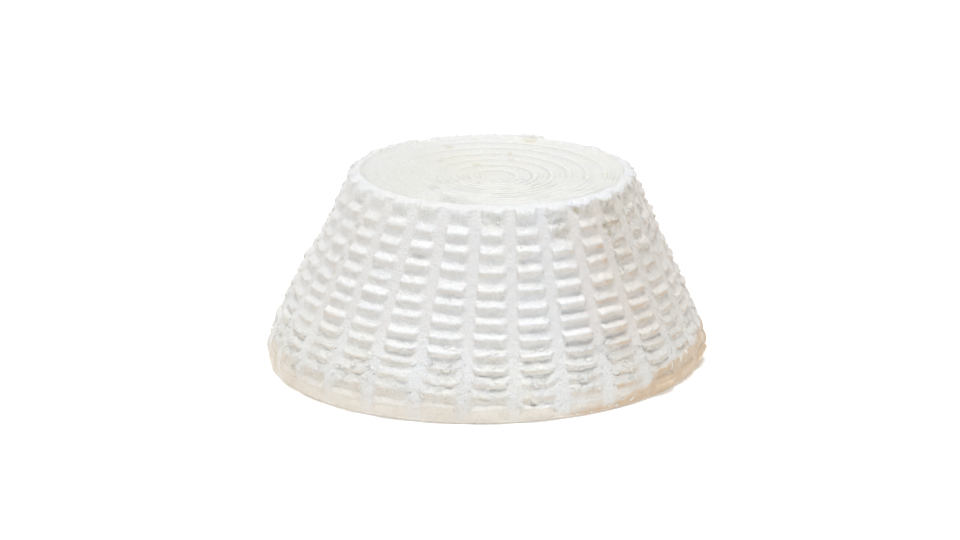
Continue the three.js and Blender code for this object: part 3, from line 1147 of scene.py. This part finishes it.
def grains_mesh(sizes, flank):
    """Small grains of curd, most on the noses of the ridges and where the curd is torn."""
    source = random.Random(GRAIN_SEED)
    heap = Heap()
    made = 0
    while made < GRAIN_COUNT:
        angle = source.uniform(0.0, math.tau)
        height = mix(CHUNK_FOOT, sizes.flank_top, source.random() ** 1.3)
        place, finish = flank.place(angle, height)
        _, share, _ = flank.profile(height)
        right = facing(angle, GRAIN_SIDE)
        if source.random() > (0.04 + finish.tear) * (0.2 + 0.8 * share) * mix(0.15, 1.0, right):
            continue
        high = soft_step(height, *GRAIN_TOP)
        if source.random() > soft_step(height, *GRAIN_FOOT) * mix(0.3, 1.0, high) + 0.1:
            continue
        half = mix(0.35, 1.0, source.random() ** 2) * MM
        size = (half, half * source.uniform(0.6, 1.0), half * source.uniform(0.5, 0.8))
        out = outward(angle)
        place = slump(sizes, place - out * size[2] * GRAIN_SINK)
        detail = 2 if half > FINE_GRAIN else 1
        heap.add(place, out, size, source.uniform(0.0, math.pi), detail, finish)
        made += 1
    return heap.close()


# ---- materials -------------------------------------------------------------------------

RINGS_CENTRE = Vector((4.5 * MM, -1.4 * MM, 88 * MM))
RINGS_SIZE = 6.2 * MM
SPECK_SHARE = 0.88  # specks are left out of this share of their cells
FLOOR_GLOW = 0.3
WHITE = (1.0, 1.0, 1.0)


class Nodes:
    """Adds shader nodes to one tree; their inputs are sockets or plain values."""

    def __init__(self, tree):
        self.tree = tree
        self.coords = self.new("TexCoord").outputs["Object"]

    def new(self, kind, inputs=None, **settings):
        """A node with its settings, and its inputs by their name or number."""
        node = self.tree.nodes.new("ShaderNode" + kind)
        for name, value in settings.items():
            setattr(node, name, value)
        for key, value in (inputs or {}).items():
            self.feed(node.inputs[key], value)
        return node

    def feed(self, socket, value):
        """Links a socket to the input, or sets it to a plain value."""
        if isinstance(value, bpy.types.NodeSocket):
            self.tree.links.new(value, socket)
        elif socket.type == "RGBA":
            socket.default_value = (*value, 1.0)
        else:
            socket.default_value = value

    def maths(self, operation, first, second, clamp=False):
        node = self.new("Math", {0: first, 1: second}, operation=operation, use_clamp=clamp)
        return node.outputs[0]

    def add(self, first, second, clamp=False):
        return self.maths("ADD", first, second, clamp)

    def times(self, first, second, clamp=False):
        return self.maths("MULTIPLY", first, second, clamp)

    def mixed(self, share, first, second):
        """A colour the given share of the way from the first to the second."""
        return self.new("Mix", {0: share, 6: first, 7: second}, data_type="RGBA").outputs[2]

    def noise(self, size, detail, roughness=0.5):
        """Noise with bumps about size across."""
        inputs = {"Scale": 1.0 / size, "Detail": detail, "Roughness": roughness}
        return self.new("TexNoise", {"Vector": self.coords, **inputs}).outputs["Fac"]

    def specks(self, size, width):
        """Sparse round specks from 0 to 1."""
        cells = self.new("TexVoronoi", {"Vector": self.coords, "Scale": 1.0 / size})
        off = self.maths("DIVIDE", cells.outputs["Distance"], width)
        near = self.maths("SUBTRACT", 1.0, off, True)
        pick = self.new("SeparateColor", {0: cells.outputs["Color"]})
        return self.times(near, self.maths("GREATER_THAN", pick.outputs[0], SPECK_SHARE))

    def ramp(self, value, low, high):
        """0 below low and 1 above high."""
        inputs = {"Value": value, "From Min": low, "From Max": high}
        return self.new("MapRange", inputs, interpolation_type="SMOOTHSTEP").outputs["Result"]

    def rings(self):
        """Fine uneven rings round the middle of the top."""
        centred = self.new("Mapping", {"Location": -RINGS_CENTRE, "Vector": self.coords})
        inputs = {
            "Scale": 1.0 / RINGS_SIZE,
            "Distortion": 1.6,
            "Detail": 3.0,
            "Detail Scale": 1.2,
            "Vector": centred.outputs[0],
        }
        node = self.new("TexWave", inputs, wave_type="RINGS", rings_direction="Z")
        return node.outputs["Fac"]

    def attribute(self, name):
        """One of the finishes stored on the mesh."""
        return self.new("Attribute", attribute_name=name).outputs["Fac"]


def curd_material(colours):
    """Moist fresh curd: milky, a little uneven, warm where whey dried and where warm shade is
    painted, pitted where torn.
    """
    material = bpy.data.materials.new(CURD_MATERIAL)
    material.use_nodes = True
    material.node_tree.nodes.clear()
    nodes = Nodes(material.node_tree)
    grain = nodes.attribute("grain")
    ring = nodes.attribute("ring")
    pinholes = nodes.specks(5.5 * MM, 0.09)
    shader = nodes.new(
        "BsdfPrincipled",
        {
            "Base Color": curd_colour(nodes, colours, grain, ring, pinholes),
            "Roughness": curd_roughness(nodes, grain),
            "IOR": 1.45,
            "Subsurface Weight": 0.7,
            "Subsurface Radius": (0.85, 0.8, 0.75),
            "Subsurface Scale": 1.1 * MM,
            "Normal": curd_bump(nodes, grain, ring, pinholes),
        },
    )
    nodes.new("OutputMaterial", {"Surface": shader.outputs[0]})
    return material


def curd_colour(nodes, colours, grain, ring, pinholes):
    """White curd with creamy patches, dried whey with painted warm shade, painted shade in pores
    and pinholes, and dark pits, partly stain and partly painted shade.
    """
    patches = nodes.ramp(nodes.noise(24 * MM, 3.0), 0.42, 0.68)
    mottle = nodes.ramp(nodes.noise(2.2 * MM, 4.0), 0.4, 0.75)
    mottle = nodes.times(mottle, nodes.add(0.14, nodes.times(ring, 0.2)))
    cream = nodes.add(nodes.times(patches, 0.3), mottle)
    cream = nodes.add(cream, nodes.attribute("cream"), True)
    surface = nodes.mixed(cream, colours.curd, colours.cream)
    surface = nodes.mixed(nodes.attribute("pressed"), surface, colours.pressed)

    # The whey colour, with the warm shade and bounce light painted in it, broken into blotches.
    blotch = nodes.add(0.55, nodes.times(nodes.noise(3.5 * MM, 5.0), 0.9))
    whey = nodes.times(nodes.attribute("whey"), blotch, True)
    surface = nodes.mixed(whey, surface, colours.whey)

    # Painted shade in tiny pores, more on torn curd.
    grit = nodes.ramp(nodes.noise(0.9 * MM, 3.0, 0.6), 0.48, 0.72)
    pore_shade_amount = nodes.times(grit, nodes.add(0.2, nodes.times(grain, 0.12)))
    surface = nodes.mixed(pore_shade_amount, surface, colours.pore_shade)
    # Painted shade in the pinholes, with the pits' dark tint.
    dark = nodes.add(nodes.attribute("pit"), nodes.times(pinholes, 0.3), True)
    return nodes.mixed(dark, surface, colours.pit)


def curd_roughness(nodes, grain):
    """Softly glossy, and duller on torn curd."""
    gloss = nodes.add(0.26, nodes.times(nodes.noise(1.6 * MM, 4.0), 0.24))
    return nodes.add(gloss, nodes.times(grain, 0.12))


def curd_bump(nodes, grain, ring, pinholes):
    """Fine grain, stronger on torn curd, with pinholes and the scratches of the rings."""
    fine = nodes.noise(0.8 * MM, 3.0, 0.6)
    rough = nodes.add(fine, nodes.times(nodes.noise(1.8 * MM, 3.0), 1.2))
    relief = nodes.times(rough, nodes.add(0.24, nodes.times(grain, 0.36)))
    relief = nodes.maths("SUBTRACT", relief, nodes.times(pinholes, 0.8))
    patchy = nodes.ramp(nodes.noise(14 * MM, 2.0), 0.4, 0.6)
    scratches = nodes.times(nodes.times(nodes.rings(), ring), patchy)
    relief = nodes.add(relief, nodes.times(scratches, 0.5))
    inputs = {"Strength": 1.0, "Distance": 1.5 * MM, "Height": relief}
    return nodes.new("Bump", inputs).outputs[0]


def floor_material(tint):
    """Matt pale floor with the faintest unevenness."""
    material = bpy.data.materials.new("pale_floor")
    material.use_nodes = True
    shader = material.node_tree.nodes["Principled BSDF"]
    nodes = Nodes(material.node_tree)
    cloud = nodes.times(nodes.noise(0.5, 2.0), 0.02)
    darker = tuple(channel * 0.97 for channel in tint)
    for name, value in (
        ("Base Color", nodes.mixed(cloud, tuple(tint), darker)),
        ("Roughness", 0.9),
        ("Specular IOR Level", 0.0),
        ("Emission Color", WHITE),
        ("Emission Strength", FLOOR_GLOW),
    ):
        nodes.feed(shader.inputs[name], value)
    return material


def shared_curd_material():
    """The curd's material, made once for all the pieces."""
    found = bpy.data.materials.get(CURD_MATERIAL)
    return found or curd_material(bpy.context.scene.ricotta_colours)


# ---- camera and stage ------------------------------------------------------------------

CAMERA_DISTANCE = 1.5988
CAMERA_ELEVATION = math.radians(17.2)
CAMERA_ROLL = math.radians(-0.94)
CAMERA_TARGET = Vector((-1.5 * MM, 0.0, 40 * MM))
CAMERA_AIM_ASIDE = -1.26 * MM
CAMERA_AIM_UP = -0.41 * MM
CLIP_START = 0.05
SENSOR_WIDTH = 36.0
IMAGE_WIDTH = 960
FOCAL_PIXELS = 3483

KEY_PLACE = Vector((-0.05, -0.04, 1.5))
KEY_SPREAD = math.radians(40)
KEY_TINT = (0.975, 0.98, 1.0)
FRONT_PLACE = Vector((0.9, -1.3, 0.7))
FRONT_SIZE = 0.8
FRONT_TINT = (0.5, 0.66, 1.0)
FLOOR_HALF = 6.0


def looking(direction):
    """The turn of a camera or a light whose back points in the direction."""
    return direction.to_track_quat("Z", "Y").to_matrix()


def add_camera():
    """The camera, a long lens a little above the round."""
    data = bpy.data.cameras.new("camera")
    data.sensor_width = SENSOR_WIDTH
    data.lens = FOCAL_PIXELS / IMAGE_WIDTH * SENSOR_WIDTH
    data.clip_start = CLIP_START
    camera = bpy.data.objects.new("camera", data)
    back = Vector((0.0, -math.cos(CAMERA_ELEVATION), math.sin(CAMERA_ELEVATION)))
    place = CAMERA_TARGET + back * CAMERA_DISTANCE
    roll = Matrix.Rotation(CAMERA_ROLL, 3, "Z")
    aside = looking(back) @ roll @ Vector((CAMERA_AIM_ASIDE, CAMERA_AIM_UP, 0.0))
    look = looking(place - (CAMERA_TARGET + aside)) @ roll
    camera.matrix_world = Matrix.Translation(place) @ look.to_4x4()
    bpy.context.scene.collection.objects.link(camera)
    bpy.context.scene.camera = camera


def add_light(name, kind, place, target, energy, tint, **shape):
    """A light that looks from its place at the target."""
    data = bpy.data.lights.new(name, kind)
    data.energy = energy
    data.color = tint
    for key, value in shape.items():
        setattr(data, key, value)
    light = bpy.data.objects.new(name, data)
    light.matrix_world = Matrix.Translation(place) @ looking(place - target).to_4x4()
    bpy.context.scene.collection.objects.link(light)


def add_lights(settings):
    """A wide soft key that reaches the whole floor evenly, and a cool light in front."""
    base = Vector((0.0, 0.0, 0.0))
    key = settings.key_strength
    add_light("key", "SUN", KEY_PLACE, base, key, KEY_TINT, angle=KEY_SPREAD)
    middle = Vector((0.0, 0.0, 50 * MM))
    front = settings.front_energy
    shape = {"shape": "SQUARE", "size": FRONT_SIZE}
    add_light("front", "AREA", FRONT_PLACE, middle, front, FRONT_TINT, **shape)


def add_world(tint, strength):
    """Even pale light from all round."""
    world = bpy.data.worlds.new("soft_air")
    world.use_nodes = True
    background = world.node_tree.nodes["Background"]
    background.inputs["Color"].default_value = (*tint, 1.0)
    background.inputs["Strength"].default_value = strength
    bpy.context.scene.world = world


def add_floor(material):
    """A wide pale floor under the round."""
    bm = bmesh.new()
    bmesh.ops.create_grid(bm, x_segments=4, y_segments=4, size=FLOOR_HALF)
    floor = finish_object(bm, "floor", material)


# ---- operators and panel ---------------------------------------------------------------


def current_sizes(context):
    """The sizes that the panel shows."""
    return plain(context.scene.ricotta_sizes, context.scene.ricotta_print)


def add_curd(bm, name):
    """Makes a piece of curd that belongs to the round's body."""
    piece = finish_object(bm, name, shared_curd_material())
    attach(piece, "root")
    return piece


class RICOTTA_OT_round(bpy.types.Operator):
    """Build the ricotta round in place of its plain solid"""

    bl_idname = "ricotta.round"
    bl_label = "Ricotta Round"
    bl_options = {"REGISTER", "UNDO"}

    def execute(self, context):
        sizes = current_sizes(context)
        flank = Flank(sizes)
        top = Top(sizes, flank)
        bm = flank_shell(sizes)
        join_into(bm, disc_shell(sizes, top))
        rims = [edge for edge in bm.edges if edge.is_boundary]
        bmesh.ops.bridge_loops(bm, edges=rims)
        if any(not edge.is_manifold for edge in bm.edges):
            raise RuntimeError("the round isn't closed")
        settle(bm, sizes, flank, top)
        piece = add_curd(bm, "ricotta_round_curd")
        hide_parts(NODE)
        return {"FINISHED"}


class RICOTTA_OT_crumbs(bpy.types.Operator):
    """Scatter the chunks and crumbs that stick to the round"""

    bl_idname = "ricotta.crumbs"
    bl_label = "Curd Crumbs"
    bl_options = {"REGISTER", "UNDO"}

    def execute(self, context):
        sizes = current_sizes(context)
        add_curd(crumbs_mesh(sizes, Flank(sizes)), "curd_crumbs")
        return {"FINISHED"}


class RICOTTA_OT_grains(bpy.types.Operator):
    """Scatter the fine grains of torn curd"""

    bl_idname = "ricotta.grains"
    bl_label = "Curd Grains"
    bl_options = {"REGISTER", "UNDO"}

    def execute(self, context):
        sizes = current_sizes(context)
        add_curd(grains_mesh(sizes, Flank(sizes)), "curd_grains")
        return {"FINISHED"}


class RICOTTA_OT_stage(bpy.types.Operator):
    """Set up the floor, the lights and the camera"""

    bl_idname = "ricotta.stage"
    bl_label = "Stage"
    bl_options = {"REGISTER", "UNDO"}

    def execute(self, context):
        settings = context.scene.ricotta_stage
        add_camera()
        add_world(settings.air, settings.air_strength)
        add_floor(floor_material(settings.floor))
        add_lights(settings)
        context.scene.view_settings.view_transform = "Standard"
        return {"FINISHED"}


OPERATORS = (RICOTTA_OT_stage, RICOTTA_OT_round, RICOTTA_OT_crumbs, RICOTTA_OT_grains)
GROUP_NAMES = ("ricotta_sizes", "ricotta_print", "ricotta_colours", "ricotta_stage")


class RICOTTA_PT_panel(bpy.types.Panel):
    """Lists the pieces and their sizes"""

    bl_label = "Ricotta Round"
    bl_idname = "RICOTTA_PT_panel"
    bl_space_type = "VIEW_3D"
    bl_region_type = "UI"
    bl_category = "Ricotta"

    def draw(self, context):
        for operator in OPERATORS:
            self.layout.operator(operator.bl_idname)
        for name in GROUP_NAMES:
            group = getattr(context.scene, name)
            box = self.layout.box()
            box.label(text=type(group).__doc__)
            for key in type(group).__annotations__:
                box.prop(group, key)


CLASSES = (*SETTINGS, *OPERATORS, RICOTTA_PT_panel)


def register():
    for cls in CLASSES:
        bpy.utils.register_class(cls)
    for name, group in zip(GROUP_NAMES, SETTINGS):
        setattr(bpy.types.Scene, name, PointerProperty(type=group))


def unregister():
    for name in GROUP_NAMES:
        delattr(bpy.types.Scene, name)
    for cls in reversed(CLASSES):
        bpy.utils.unregister_class(cls)


def write_sizes():
    """Updates the view layer."""
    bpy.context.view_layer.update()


def main():
    register()
    bpy.ops.ricotta.stage()
    bpy.ops.ricotta.round()
    bpy.ops.ricotta.crumbs()
    bpy.ops.ricotta.grains()
    write_sizes()


if __name__ == "__main__":
    main()
